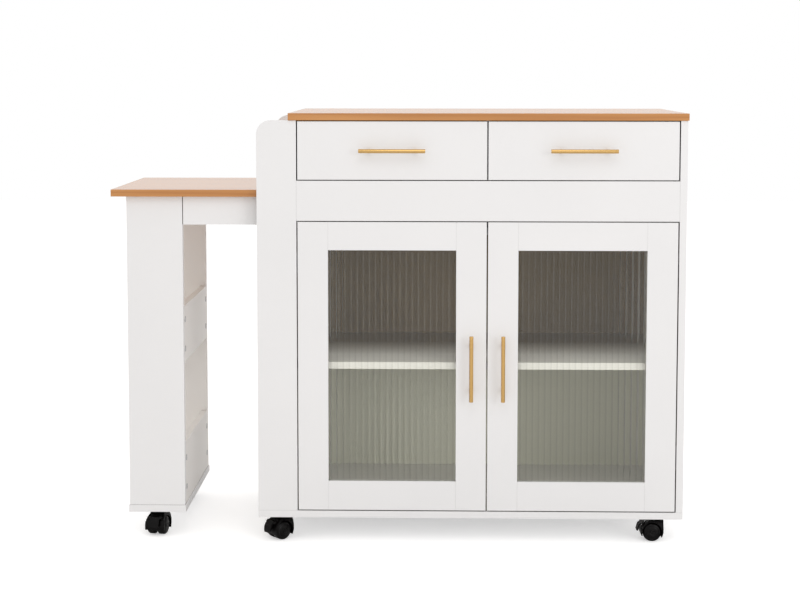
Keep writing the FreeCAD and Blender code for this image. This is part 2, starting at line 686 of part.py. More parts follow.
def caster_places():
    """Two rows under the cabinet and one under the leg box."""
    left, right = CASTER_IN_X, CABINET_W - CASTER_IN_X
    front, back = CASTER_IN_Y, BODY_D - CASTER_IN_Y
    leg_x = (LEG_X0 + LEG_X1) / 2
    return [
        ("front_left", left, front, HEADING_FRONT_LEFT, True),
        ("front_right", right, front, HEADING_FRONT_RIGHT, True),
        ("back_left", left, back, HEADING_BACK_LEFT, False),
        ("back_right", right, back, HEADING_BACK_RIGHT, False),
        ("leg_front", leg_x, LEG_Y0 + LEG_CASTER_IN_Y, HEADING_LEG_FRONT, True),
        ("leg_back", leg_x, LEG_Y1 - LEG_CASTER_IN_Y, HEADING_LEG_BACK, False),
    ]


def at_caster(shape, x, y, heading):
    """A caster piece turned to its heading and moved to its place."""
    placed = shape.copy()
    placed.rotate(Vector(0, 0, 0), Vector(0, 0, 1), heading)
    placed.translate(Vector(x, y, 0))
    return placed


# ---- write every piece -----------------------------------------------------------------------
def write_cabinet():
    """Fixed boards and what is screwed to them."""
    save("countertop", countertop())
    save("left_side_panels", *left_side())
    save("right_side_panel", right_side())
    save("bottom_board", board(0, CABINET_W, 0, BODY_D, CASTER_H, DECK_Z))
    save("back_panel", board(OPENING_X0, OPENING_X1, BACK_Y0, BACK_Y1, DECK_Z, BODY_TOP_Z))
    save("upper_divider", board(OPENING_X0, OPENING_X1, BOARD, BACK_Y0, UPPER_DIVIDER_Z, FASCIA_TOP_Z))
    save("lower_divider",
         board(OPENING_X0, OPENING_X1, DIVIDER_SETBACK, BACK_Y0, LOWER_DIVIDER_Z0, LOWER_DIVIDER_Z1))
    x0, x1 = MIDDLE_X - BOARD / 2, MIDDLE_X + BOARD / 2
    save("drawer_partition", board(x0, x1, DIVIDER_SETBACK, BACK_Y0, FASCIA_TOP_Z, BODY_TOP_Z))
    save("fascia_panel", board(OPENING_X0, OPENING_X1, 0, BOARD, DOOR_TOP_Z, FASCIA_TOP_Z))
    x0, x1 = OPENING_X0 + SHELF_PLAY, OPENING_X1 - SHELF_PLAY
    save("inner_shelf", board(x0, x1, SHELF_SETBACK, BACK_Y0 - SHELF_PLAY, SHELF_Z, SHELF_Z + BOARD))
    save("shelf_supports", *shelf_supports())
    save("rack_front_panel", rack_panel())
    save("rack_back_panel", mirror_y(rack_panel(), BODY_D / 2))
    save("rack_shelves", *rack_shelves())
    left_arms = hinge_arms(OPENING_X0)
    save("door_hinge_arms", *left_arms, *[mirror_x(arm, MIDDLE_X) for arm in left_arms])
    save("drawer_slide_rails", *drawer_slide_rails())
    save("table_guide_rails", *guide_rails())


def write_doors():
    """Left door, and the right one as its mirror image."""
    handle_x = LEFT_FRONT_X + FRONT_W - STILE_W / 2
    pieces = {
        "frame": door_frame(LEFT_FRONT_X),
        "glass": [reeded_glass(LEFT_FRONT_X)],
        "handle": [handle(handle_x, (DOOR_Z0 + DOOR_Z1) / 2, (0, 0, 1))],
        "hinge_cups": hinge_cups(LEFT_FRONT_X),
    }
    for name, solids in pieces.items():
        save(f"left_door_{name}", *solids)
        save(f"right_door_{name}", *[mirror_x(solid, MIDDLE_X) for solid in solids])


def write_drawers():
    """Both drawers: front, box, runners and handle."""
    for name, side, x0 in (("left", -1, LEFT_FRONT_X), ("right", 1, RIGHT_FRONT_X)):
        save(f"{name}_drawer_front", board(x0, x0 + FRONT_W, 0, BOARD, DRAWER_Z0, DRAWER_Z1))
        save(f"{name}_drawer_box", *drawer_box(side))
        save(f"{name}_drawer_runners", *drawer_runners(side))
        middle_z = (DRAWER_Z0 + DRAWER_Z1) / 2
        save(f"{name}_drawer_handle", handle(x0 + FRONT_W / 2, middle_z, (1, 0, 0)))


def write_table():
    """Side table and its leg box."""
    save("tabletop", tabletop())
    save("table_aprons", *aprons())
    save("table_cross_rails", *cross_rails())
    save("table_glides", *glides())
    save("leg_front_panel", leg_panel())
    save("leg_back_panel", mirror_y(leg_panel(), BODY_D / 2))
    save("leg_bottom_board", leg_bottom())
    save("leg_guard_rails", *leg_rails())
    save("leg_shelf", leg_shelf())


def write_casters():
    """Plates on the boards, then a hood, a wheel pair and any brake lever at each place."""
    plate, wheels, lever = caster_plate(), wheel_pair(), brake_lever()
    hoods = {True: caster_hood(True), False: caster_hood(False)}
    plates = {"cabinet": [], "leg": []}
    for name, x, y, heading, braked in caster_places():
        owner = "leg" if name.startswith("leg") else "cabinet"
        plates[owner].append(at_caster(plate, x, y, 0))
        save(f"caster_{name}_hood", at_caster(hoods[braked], x, y, heading))
        save(f"caster_{name}_wheels", at_caster(wheels, x, y, heading))
        if braked:
            save(f"caster_{name}_brake", at_caster(lever, x, y, heading))
    for owner, solids in plates.items():
        save(f"{owner}_caster_plates", *solids)


os.makedirs("parts", exist_ok=True)
write_cabinet()
write_doors()
write_drawers()
write_table()
write_casters()
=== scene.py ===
import bmesh
import bpy
import json
import math
import numpy as np
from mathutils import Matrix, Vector

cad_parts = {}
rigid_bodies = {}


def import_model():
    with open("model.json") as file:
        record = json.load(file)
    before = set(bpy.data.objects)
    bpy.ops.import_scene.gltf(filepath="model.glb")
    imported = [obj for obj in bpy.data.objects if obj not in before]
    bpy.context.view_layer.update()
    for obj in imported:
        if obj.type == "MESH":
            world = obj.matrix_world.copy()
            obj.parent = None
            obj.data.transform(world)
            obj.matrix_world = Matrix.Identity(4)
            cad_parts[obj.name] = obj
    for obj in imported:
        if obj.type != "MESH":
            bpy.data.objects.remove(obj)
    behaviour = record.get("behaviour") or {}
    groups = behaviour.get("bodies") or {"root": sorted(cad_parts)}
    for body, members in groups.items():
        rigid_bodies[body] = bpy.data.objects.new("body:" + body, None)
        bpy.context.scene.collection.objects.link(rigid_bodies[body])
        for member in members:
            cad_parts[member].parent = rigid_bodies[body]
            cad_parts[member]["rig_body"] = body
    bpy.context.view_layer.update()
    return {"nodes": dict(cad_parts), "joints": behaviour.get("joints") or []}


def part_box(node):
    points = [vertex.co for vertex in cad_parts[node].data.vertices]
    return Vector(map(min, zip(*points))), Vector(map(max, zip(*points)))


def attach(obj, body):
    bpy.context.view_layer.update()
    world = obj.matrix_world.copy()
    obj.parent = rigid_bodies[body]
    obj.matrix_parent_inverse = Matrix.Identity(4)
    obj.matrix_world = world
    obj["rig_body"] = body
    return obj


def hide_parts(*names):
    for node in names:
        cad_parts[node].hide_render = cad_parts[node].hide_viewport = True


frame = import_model()

# ---- cabinet boards --------------------------------------------------------------------------
# Particle board 15 mm thick under a white satin laminate, cut square and edge banded all round.
# The boards are dowelled and cam-locked into one carcass, so only their eased arrises show.
ARRIS = 0.0005
ARRIS_STEPS = 2
HAIR = ARRIS / 5
SAME_POINT = 1e-6
FLAT_ANGLE = 0.01
SHARP_ANGLE = 0.6
WHITE = (0.855, 0.848, 0.850)
WHITE_CLOUD = (0.835, 0.829, 0.832)
CLOUDS_PER_M = (3, 3, 3)
PEBBLES_PER_M = 1400
PEBBLE_DEEP = 0.000012
# Painted shade for the gaps between boards, doors and drawers, sunk in where ambient occlusion
# finds walls within a few mm.
GAP_PAINTED_SHADE = (0.130, 0.120, 0.105)
GAP_REACH = 0.005
GAP_SHUT, GAP_OPEN = 0.25, 0.60
GAP_RAYS = 8


def finish(name, colour, roughness, metallic=0.0, shine=0.5):
    """A material with one Principled shader; returns both."""
    made = bpy.data.materials.new(name)
    made.use_nodes = True
    shader = made.node_tree.nodes["Principled BSDF"]
    shader.inputs["Base Color"].default_value = (*colour, 1)
    shader.inputs["Roughness"].default_value = roughness
    shader.inputs["Metallic"].default_value = metallic
    shader.inputs["Specular IOR Level"].default_value = shine
    return made, shader


def paint(made, shader, colour):
    """Give the shader a colour that other nodes work out."""
    made.node_tree.links.new(colour, shader.inputs["Base Color"])


def mottle(made, per_metre, detail=2.0, distortion=0.0):
    """Noise on the piece's own coordinates, this many blotches per metre along X, Y and Z."""
    nodes, links = made.node_tree.nodes, made.node_tree.links
    place = nodes.new("ShaderNodeTexCoord")
    spread = nodes.new("ShaderNodeMapping")
    noise = nodes.new("ShaderNodeTexNoise")
    spread.inputs["Scale"].default_value = per_metre
    noise.inputs["Scale"].default_value = 1.0
    noise.inputs["Detail"].default_value = detail
    noise.inputs["Distortion"].default_value = distortion
    links.new(place.outputs["Object"], spread.inputs["Vector"])
    links.new(spread.outputs["Vector"], noise.inputs["Vector"])
    return noise.outputs["Fac"]


def tint(made, factor, *stops):
    """Colour ramp over a factor; a stop is its place and its colour."""
    ramp = made.node_tree.nodes.new("ShaderNodeValToRGB")
    bands = ramp.color_ramp.elements
    while len(bands) < len(stops):
        bands.new(0.5)
    for band, (place, colour) in zip(bands, stops):
        band.position = place
        band.color = (*colour, 1)
    made.node_tree.links.new(factor, ramp.inputs["Fac"])
    return ramp.outputs["Color"]


def share(made, value, start, end, least=0.0, most=1.0):
    """How far a value has gone from start to end, held between least and most."""
    span = made.node_tree.nodes.new("ShaderNodeMapRange")
    span.inputs["From Min"].default_value = start
    span.inputs["From Max"].default_value = end
    span.inputs["To Min"].default_value = least
    span.inputs["To Max"].default_value = most
    made.node_tree.links.new(value, span.inputs["Value"])
    return span.outputs["Result"]


def blend(made, factor, first, second):
    """First colour where the factor is 0, second where it is 1; each is plain or from a node."""
    mix = made.node_tree.nodes.new("ShaderNodeMix")
    mix.data_type = "RGBA"
    made.node_tree.links.new(factor, mix.inputs["Factor"])
    for end, colour in (("A", first), ("B", second)):
        if isinstance(colour, bpy.types.NodeSocket):
            made.node_tree.links.new(colour, mix.inputs[end])
        else:
            mix.inputs[end].default_value = (*colour, 1)
    return mix.outputs["Result"]


def relief(made, shader, height, deep):
    """Bumps this deep in metres, from a height map."""
    bump = made.node_tree.nodes.new("ShaderNodeBump")
    bump.inputs["Strength"].default_value = 1.0
    bump.inputs["Distance"].default_value = deep
    made.node_tree.links.new(height, bump.inputs["Height"])
    made.node_tree.links.new(bump.outputs["Normal"], shader.inputs["Normal"])


def pebble(made, shader, per_metre, deep, detail=2):
    """A fine even tooth, this many bumps per metre and this deep in metres."""
    relief(made, shader, mottle(made, (per_metre,) * 3, detail), deep)


def laminate(name, plain, cloud):
    """Satin laminate, faintly clouded and pebbled, with a painted shade that darkens its colour in
    gaps a few mm wide."""
    made, shader = finish(name, plain, roughness=0.34)
    # Painted shade: the colour sinks to a dark tone where the ambient occlusion finds walls close
    # by.
    open_air = made.node_tree.nodes.new("ShaderNodeAmbientOcclusion")
    open_air.samples = GAP_RAYS
    open_air.inputs["Distance"].default_value = GAP_REACH
    clear_of_painted_shade = share(made, open_air.outputs["AO"], GAP_SHUT, GAP_OPEN)
    clouded = tint(made, mottle(made, CLOUDS_PER_M, detail=3), (0.35, plain), (0.65, cloud))
    paint(made, shader, blend(made, clear_of_painted_shade, GAP_PAINTED_SHADE, clouded))
    pebble(made, shader, PEBBLES_PER_M, PEBBLE_DEEP, detail=1)
    return made


def place_piece(name, mesh, made, body, nodes=()):
    """Put a finished mesh in the scene, on its body and in place of its CAD nodes."""
    mesh.materials.clear()
    mesh.materials.append(made)
    piece = bpy.data.objects.new(name, mesh)
    bpy.context.scene.collection.objects.link(piece)
    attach(piece, body)
    if nodes:
        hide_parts(*nodes)
    return piece


def round_edges(piece, width):
    """Round a piece's sharp edges by this width and keep its flat faces flat."""
    arris = piece.modifiers.new("arris", "BEVEL")
    arris.width = width
    arris.segments = ARRIS_STEPS
    arris.limit_method = "ANGLE"
    arris.angle_limit = SHARP_ANGLE
    arris.use_clamp_overlap = True
    piece.modifiers.new("flat faces", "WEIGHTED_NORMAL")


def between_joints(shape, joints):
    """Corners of the loose triangles, sorted by the upright joints between which each one's body
    lies; a triangle's body is a hair behind its middle."""
    groups = [{} for _ in range(len(joints) + 1)]
    for face in shape.faces:
        inside = face.calc_center_median().x - face.normal.x * HAIR
        groups[sum(inside > joint for joint in joints)].update(dict.fromkeys(face.verts))
    return [list(group) for group in groups]


def eased(node, made, arris=ARRIS, joints=()):
    """A CAD node's copy, its triangles merged into flat faces and its sharp edges rounded. Boards
    that meet at an upright joint stay apart, so that the joint shows as a fine line."""
    source = frame["nodes"][node]
    shape = bmesh.new()
    shape.from_mesh(source.data)
    for group in between_joints(shape, joints):
        bmesh.ops.remove_doubles(shape, verts=group, dist=SAME_POINT)
    bmesh.ops.dissolve_limit(shape, angle_limit=FLAT_ANGLE, verts=shape.verts, edges=shape.edges)
    mesh = bpy.data.meshes.new(node)
    shape.to_mesh(mesh)
    shape.free()
    mesh.shade_smooth()
    piece = place_piece(f"{node}_eased", mesh, made, source["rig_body"], [node])
    round_edges(piece, arris)
    return piece


board = laminate("white_laminate", WHITE, WHITE_CLOUD)
for name in ("left_side_panels", "right_side_panel", "bottom_board", "upper_divider",
             "lower_divider", "drawer_partition", "fascia_panel", "rack_shelves",
             "table_guide_rails"):
    eased(name, board)

# ---- inner shelf -----------------------------------------------------------------------------
# One loose board across both doors, white in front. Its rear half is painted the back panel's
# brown, a painted shade and painted reflection of that brown back, fading out towards the middle.
SHELF_WHITE = (0.930, 0.925, 0.925)
SHELF_PAINTED_SHADE = (0.125, 0.078, 0.022)
PAINTED_SHADE_STARTS, PAINTED_SHADE_FULL = 0.24, 0.68


def own_place(made):
    """The piece's own coordinates, as separate X, Y and Z."""
    place = made.node_tree.nodes.new("ShaderNodeTexCoord")
    apart = made.node_tree.nodes.new("ShaderNodeSeparateXYZ")
    made.node_tree.links.new(place.outputs["Object"], apart.inputs["Vector"])
    return apart.outputs


shelf_board, shelf_shader = finish("shelf_laminate", SHELF_WHITE, roughness=0.40)
shelf_low, shelf_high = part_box("inner_shelf")
rearward = share(shelf_board, own_place(shelf_board)["Y"], shelf_low.y, shelf_high.y)
# Painted shade and painted reflection: the shelf's colour darkens to brown towards its rear.
paint(shelf_board, shelf_shader,
      tint(shelf_board, rearward, (PAINTED_SHADE_STARTS, SHELF_WHITE), (PAINTED_SHADE_FULL, SHELF_PAINTED_SHADE)))
eased("inner_shelf", shelf_board)

# ---- back panel ------------------------------------------------------------------------------
# Thin hardboard let in behind the carcass, white outside. Its inner face is brown above the inner
# shelf and a pale grey-green below it, changing over 20 mm at the shelf.
BACK_BROWN = (0.200, 0.134, 0.054)
BACK_GREY = (0.875, 0.885, 0.775)
BACK_SPREAD = 0.02
BACK_TOOTH_PER_M = 500
BACK_TOOTH_DEEP = 0.00004
THIN_ARRIS = 0.0003


def calc(made, operation, *terms):
    """One step of arithmetic; a term is a number or a node's output."""
    step = made.node_tree.nodes.new("ShaderNodeMath")
    step.operation = operation
    for entry, term in zip(step.inputs, terms):
        if isinstance(term, bpy.types.NodeSocket):
            made.node_tree.links.new(term, entry)
        else:
            entry.default_value = term
    return step.outputs[0]


hardboard, hardboard_shader = finish("back_hardboard", BACK_GREY, roughness=0.55)
shelf_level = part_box("inner_shelf")[0].z
back_low, back_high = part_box("back_panel")
back_place = own_place(hardboard)
above = share(hardboard, back_place["Z"],
              shelf_level - BACK_SPREAD / 2, shelf_level + BACK_SPREAD / 2)
inner_face_colour = tint(hardboard, above, (0.0, BACK_GREY), (1.0, BACK_BROWN))
outside = calc(hardboard, "GREATER_THAN", back_place["Y"], (back_low.y + back_high.y) / 2)
paint(hardboard, hardboard_shader, blend(hardboard, outside, inner_face_colour, WHITE))
pebble(hardboard, hardboard_shader, BACK_TOOTH_PER_M, BACK_TOOTH_DEEP, detail=3)
eased("back_panel", hardboard, THIN_ARRIS)

# ---- rack panels -----------------------------------------------------------------------------
# Two white boards, front and back, close the open rack's ends, and their upper outer corner is
# routed to a quarter round of 30 mm before the edge band goes on.
ROUND = 0.030
ROUND_STEPS = 24


def prism(outline, axis, start, end):
    """The closed outline at the start of an axis (0, 1 or 2 for X, Y or Z) and again at its end,
    with quads between and a face at each end."""
    count = len(outline)
    rings = [np.insert(outline, axis, level, axis=1) for level in (start, end)]
    here = np.arange(count)
    ahead = (here + 1) % count
    walls = np.column_stack([here, ahead, ahead + count, here + count]).tolist()
    return np.vstack(rings), walls + [here[::-1].tolist(), (here + count).tolist()]


def solid(name, shells, made, body, nodes=(), crease=SHARP_ANGLE):
    """One piece from closed shells of points and faces, its faces turned outwards."""
    points, faces, start = [], [], 0
    for shell_points, shell_faces in shells:
        points.append(shell_points)
        faces += [[corner + start for corner in face] for face in shell_faces]
        start += len(shell_points)
    mesh = bpy.data.meshes.new(name)
    mesh.from_pydata(np.vstack(points).tolist(), [], faces)
    shape = bmesh.new()
    shape.from_mesh(mesh)
    bmesh.ops.recalc_face_normals(shape, faces=shape.faces)
    shape.to_mesh(mesh)
    shape.free()
    mesh.shade_smooth()
    mesh.set_sharp_from_angle(angle=crease)
    return place_piece(name, mesh, made, body, nodes)


for name in ("rack_front_panel", "rack_back_panel"):
    low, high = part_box(name)
    turn = np.linspace(math.pi, math.pi / 2, ROUND_STEPS + 1)
    corner = np.column_stack([low.x + ROUND + ROUND * np.cos(turn),
                              high.z - ROUND + ROUND * np.sin(turn)])
    ends = np.array([(high.x, high.z), (high.x, low.z), (low.x, low.z)])
    panel = solid(f"{name}_routed", [prism(np.vstack([corner, ends]), 1, low.y, high.y)], board,
                  "cabinet", [name])
    round_edges(panel, ARRIS)

# ---- worktop and side tabletop ---------------------------------------------------------------
# The same board under an oak-look foil, grain along the length, with a matching band on every
# edge. The satin foil mirrors the pale room at a grazing view, so the tops look lighter there.
OAK_DARK = (0.440, 0.178, 0.050)
OAK = (0.560, 0.252, 0.080)
OAK_PALE = (0.680, 0.335, 0.120)
STREAKS_PER_M = (1.6, 46, 60)
PORES_PER_M = (22, 900, 900)
PORE_DEEP = 0.00003

oak, oak_shader = finish("oak_foil", OAK, roughness=0.18)
streaks = mottle(oak, STREAKS_PER_M, detail=6, distortion=0.5)
paint(oak, oak_shader, tint(oak, streaks, (0.28, OAK_DARK), (0.50, OAK), (0.74, OAK_PALE)))
relief(oak, oak_shader, mottle(oak, PORES_PER_M), PORE_DEEP)
for name in ("countertop", "tabletop"):
    eased(name, oak)

# ---- door frames -----------------------------------------------------------------------------
# White stiles and rails butt together square round each pane, so a fine joint shows where stile
# meets rail. Beads behind hold the glass. Each frame hangs on two concealed cup hinges.
GLASS_LEDGE = 0.007
FRAME_ARRIS = 0.0004

for side in ("left", "right"):
    pane_low, pane_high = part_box(f"{side}_door_glass")
    eased(f"{side}_door_frame", board, FRAME_ARRIS,
          (pane_low.x + GLASS_LEDGE, pane_high.x - GLASS_LEDGE))

# ---- reeded glass ----------------------------------------------------------------------------
# Clear glass 4 mm thick, flat in front and rolled into rounded upright reeds behind, a little over
# Each reed carries a painted highlight, a fine upright stripe, beside a painted shade in its
# valley.
REED = 0.0129
REED_DEEP = 0.0014
REED_STEPS = 16
VALLEY_PAINTED_SHADE = (0.86, 0.86, 0.82)
CREST = (0.92, 0.92, 0.88)
STRIPE_PAINTED_HIGHLIGHT = (0.97, 0.97, 0.93)
PAINTED_HIGHLIGHT_MILK = 0.038
CLEAR = (1, 1, 1)
MILKY_PAINTED_HIGHLIGHT = (1 - PAINTED_HIGHLIGHT_MILK,) * 3
LIGHT_THROUGH = (0.96, 0.96, 0.93)
GLASS_CREASE = 0.9

glass, glass_shader = finish("reeded_glass", CREST, roughness=0.02, shine=0.18)
glass_shader.inputs["IOR"].default_value = 1.5
glass_shader.inputs["Transmission Weight"].default_value = 1.0
nodes, links = glass.node_tree.nodes, glass.node_tree.links
reed_place = nodes.new("ShaderNodeUVMap")
reed_place.uv_map = "reeds"
reed_across = nodes.new("ShaderNodeSeparateXYZ")
links.new(reed_place.outputs["UV"], reed_across.inputs["Vector"])
one_reed = calc(glass, "FRACT", reed_across.outputs["X"])
# Painted highlight and painted shade across each reed: the tint darkens at the valley and lightens
# at the stripe, where a little less light goes through.
paint(glass, glass_shader,
      tint(glass, one_reed, (0.0, VALLEY_PAINTED_SHADE), (0.16, CREST), (0.30, STRIPE_PAINTED_HIGHLIGHT), (0.46, CREST),
           (0.80, CREST), (1.0, VALLEY_PAINTED_SHADE)))
links.new(tint(glass, one_reed, (0.0, CLEAR), (0.22, CLEAR), (0.31, MILKY_PAINTED_HIGHLIGHT), (0.40, CLEAR)),
          glass_shader.inputs["Transmission Weight"])

# A lamp's light and the light that the boards throw back go straight through the pane, so that it
# casts no dark shadow on the shelf behind it.
ray = nodes.new("ShaderNodeLightPath")
see_through = nodes.new("ShaderNodeBsdfTransparent")
see_through.inputs["Color"].default_value = (*LIGHT_THROUGH, 1)
lit_through = nodes.new("ShaderNodeMixShader")
links.new(calc(glass, "MAXIMUM", ray.outputs["Is Shadow Ray"], ray.outputs["Is Diffuse Ray"]),
          lit_through.inputs["Fac"])
links.new(glass_shader.outputs["BSDF"], lit_through.inputs[1])
links.new(see_through.outputs["BSDF"], lit_through.inputs[2])
links.new(lit_through.outputs["Shader"], nodes["Material Output"].inputs["Surface"])


def reeded(low, high, reeds):
    """Pane: depth behind is the crest less a reed's depth times the square of how far from its
    middle, and the outline is carried straight up."""
    along = np.linspace(0, 1, reeds * REED_STEPS + 1)
    across = (along * reeds) % 1.0 * 2 - 1
    back = high.y - REED_DEEP * across ** 2
    x = low.x + along * (high.x - low.x)
    profile = np.vstack([np.column_stack([x, back]), [(high.x, low.y), (low.x, low.y)]])
    return prism(profile, 2, low.z, high.z)


for side in ("left", "right"):
    node = f"{side}_door_glass"
    low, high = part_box(node)
    reeds = max(1, round((high.x - low.x) / REED))
    pane = solid(f"{node}_reeded", [reeded(low, high, reeds)], glass, f"{side}_door",
                 [node], GLASS_CREASE)
    corners = np.empty(len(pane.data.loops), dtype=np.int32)
    pane.data.loops.foreach_get("vertex_index", corners)
    spots = np.empty(len(pane.data.vertices) * 3)
    pane.data.vertices.foreach_get("co", spots)
    across, _, upward = spots.reshape(-1, 3)[corners].T
    spread = np.column_stack([(across - low.x) / (high.x - low.x) * reeds, upward])
    pane.data.uv_layers.new(name="reeds").data.foreach_set("uv", spread.ravel())

# ---- handles ---------------------------------------------------------------------------------
# A round bar on two round posts, satin brass plate on steel, screwed on from behind. The bar's
# ends are turned with a small rounding.
BRASS = (0.65, 0.41, 0.155)
BRASS_TOOTH_PER_M = 900
BRASS_TOOTH_DEEP = 0.000010
BAR_R = 0.00425
POST_R = 0.00325
POST_HALF_PITCH = 0.048
END_ROUND = 0.0007
END_STEPS = 6

brass, brass_shader = finish("satin_brass", BRASS, roughness=0.22, metallic=1.0)
pebble(brass, brass_shader, BRASS_TOOTH_PER_M, BRASS_TOOTH_DEEP)


def turned(profile, centre, axis, steps=48):
    """Lathe work: a profile of distance along the axis and radius, swept round the axis; the
    points where the profile meets the axis are single poles."""
    axis = Vector(axis).normalized()
    across = axis.orthogonal().normalized()
    up = axis.cross(across)
    angle = np.linspace(0, 2 * math.pi, steps, endpoint=False)
    spoke = np.outer(np.cos(angle), across) + np.outer(np.sin(angle), up)
    along, radius = np.array(profile[1:-1]).T
    rings = (np.array(centre) + along[:, None, None] * np.array(axis)
             + radius[:, None, None] * spoke)
    poles = [np.array(centre) + profile[end][0] * np.array(axis) for end in (0, -1)]
    rows = np.arange(len(along) * steps).reshape(len(along), steps)
    ahead = np.roll(rows, -1, axis=1)
    quads = np.stack([rows[:-1], ahead[:-1], ahead[1:], rows[1:]], axis=-1).reshape(-1, 4)
    first = rows.size
    start_fan = np.column_stack([np.full(steps, first), ahead[0], rows[0]])
    end_fan = np.column_stack([np.full(steps, first + 1), rows[-1], ahead[-1]])
    return (np.vstack([rings.reshape(-1, 3), poles]),
            quads.tolist() + start_fan.tolist() + end_fan.tolist())


def rounded_rod(half, radius, ease):
    """Profile of a rod, both ends rounded by the ease."""
    turn = np.linspace(0, math.pi / 2, END_STEPS)
    along, out = half - ease + ease * np.sin(turn), radius - ease + ease * np.cos(turn)
    right = list(zip(along, out))
    left = [(-a, r) for a, r in reversed(right)]
    return [(-half, 0), *left, *right, (half, 0)]


def square_rod(half, radius):
    """Profile of a rod with square ends."""
    return [(-half, 0), (-half, radius), (half, radius), (half, 0)]


for node, body, length_axis in (("left_door_handle", "left_door", Vector((0, 0, 1))),
                                ("right_door_handle", "right_door", Vector((0, 0, 1))),
                                ("left_drawer_handle", "left_drawer", Vector((1, 0, 0))),
                                ("right_drawer_handle", "right_drawer", Vector((1, 0, 0)))):
    low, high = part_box(node)
    middle = (low + high) / 2
    bar_y = low.y + BAR_R
    half = (high - low).dot(length_axis) / 2
    bar = turned(rounded_rod(half, BAR_R, END_ROUND), (middle.x, bar_y, middle.z), length_axis)
    post_half = (high.y - bar_y) / 2
    posts = []
    for way in (-1, 1):
        from_middle = length_axis * (way * POST_HALF_PITCH)
        foot = Vector((middle.x, bar_y + post_half, middle.z)) + from_middle
        posts.append(turned(square_rod(post_half, POST_R), foot, (0, 1, 0)))
    solid(f"{node}_turned", [bar, *posts], brass, body, [node])

# ---- hinges, slides and other plated fittings ------------------------------------------------
# Pressed steel, zinc plated: hinge cups and arms, drawer rails and runners, and the small angles
# that carry the shelf. The plating is dull and faintly blotched.
ZINC = (0.52, 0.52, 0.53)
ZINC_DARK = (0.46, 0.46, 0.47)
ZINC_PALE = (0.60, 0.60, 0.61)
BLOTCHES_PER_M = (60, 60, 60)
STEEL_ARRIS = 0.0002

zinc, zinc_shader = finish("zinc_plate", ZINC, roughness=0.36, metallic=1.0)
paint(zinc, zinc_shader,
      tint(zinc, mottle(zinc, BLOTCHES_PER_M, detail=4), (0.3, ZINC_DARK), (0.7, ZINC_PALE)))
for name in ("left_door_hinge_cups", "right_door_hinge_cups", "door_hinge_arms",
             "drawer_slide_rails", "left_drawer_runners", "right_drawer_runners",
             "shelf_supports"):
    eased(name, zinc, STEEL_ARRIS)

# ---- drawers ---------------------------------------------------------------------------------
# A white front is screwed to a box of thinner white boards, its bottom held in a groove. Both
# ride on steel runners.
for side in ("left", "right"):
    eased(f"{side}_drawer_front", board)
    eased(f"{side}_drawer_box", board, THIN_ARRIS)

# ---- side table ------------------------------------------------------------------------------
# White aprons under the oak-look top run into the cabinet on plastic glides. The outer end stands
# on a narrow box of white boards; its inner faces are painted a warmer, lighter white, a painted
# warm bounce light in the shaded box. The aprons stop just short of its front and back panels.
BOUNCE_PAINTED_WHITE = (0.915, 0.882, 0.845)
BOUNCE_PAINTED_CLOUD = (0.900, 0.865, 0.828)
APRON_GAP = 0.0015
GLIDE_GREY = (0.70, 0.70, 0.68)
GLIDE_TOOTH_PER_M = 700
GLIDE_TOOTH_DEEP = 0.00003
MOULDED_ARRIS = 0.0004

for name in ("table_cross_rails", "leg_front_panel", "leg_bottom_board"):
    eased(name, board)
# Painted light: the leg box's inner boards get a warmer, lighter white for warm bounce light in its
# shade.
bounce_painted_board = laminate("bounce_painted_laminate", BOUNCE_PAINTED_WHITE, BOUNCE_PAINTED_CLOUD)
for name in ("leg_back_panel", "leg_guard_rails", "leg_shelf"):
    eased(name, bounce_painted_board)
aprons = eased("table_aprons", board).data
spots = np.empty(len(aprons.vertices) * 3)
aprons.vertices.foreach_get("co", spots)
spots = spots.reshape(-1, 3)
spots[spots[:, 0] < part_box("leg_front_panel")[1].x + APRON_GAP, 0] += APRON_GAP
aprons.vertices.foreach_set("co", spots.ravel())
pad, pad_shader = finish("glide_plastic", GLIDE_GREY, roughness=0.45)
pebble(pad, pad_shader, GLIDE_TOOTH_PER_M, GLIDE_TOOTH_DEEP)
eased("table_glides", pad, MOULDED_ARRIS)

# ---- cam locks -------------------------------------------------------------------------------
# Zinc cams sit in blind holes at the ends of both guard rails and draw the bolts of the end panels
# tight. Each shows a round face, quartered by a cross slot, nearly flush with the rail.
LOWER_RAIL_H = 0.135
UPPER_RAIL_H = 0.123
CAM_R = 0.0065
CAM_BED = 0.0002
CAM_PROUD = 0.0007
CAM_FROM_END = 0.0095
CAM_SPREAD = 0.032
SLOT_HALF_W = 0.0008
SLOT_TURN = 0.13
ARC_POINTS = 8

low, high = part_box("leg_guard_rails")
quarter = np.linspace(SLOT_TURN, math.pi / 2 - SLOT_TURN, ARC_POINTS)
arc = CAM_R * np.column_stack([np.cos(quarter), np.sin(quarter)])
petal = np.vstack([(SLOT_HALF_W, SLOT_HALF_W), arc])
disc = [(0, 0), (0, CAM_R), (CAM_BED, CAM_R), (CAM_BED, 0)]
cams = []
for base, height in ((low.z, LOWER_RAIL_H), (high.z - UPPER_RAIL_H, UPPER_RAIL_H)):
    for y in (low.y + CAM_FROM_END, high.y - CAM_FROM_END):
        for way in (-1, 1):
            z = base + height / 2 + way * CAM_SPREAD
            cams.append(turned(disc, (high.x, y, z), (1, 0, 0), steps=32))
            for right, up in ((1, 1), (-1, 1), (-1, -1), (1, -1)):
                cams.append(prism(petal * (right, up) + (y, z), 0,
                                  high.x + CAM_BED, high.x + CAM_PROUD))
solid("leg_cam_locks", cams, zinc, "side_table")

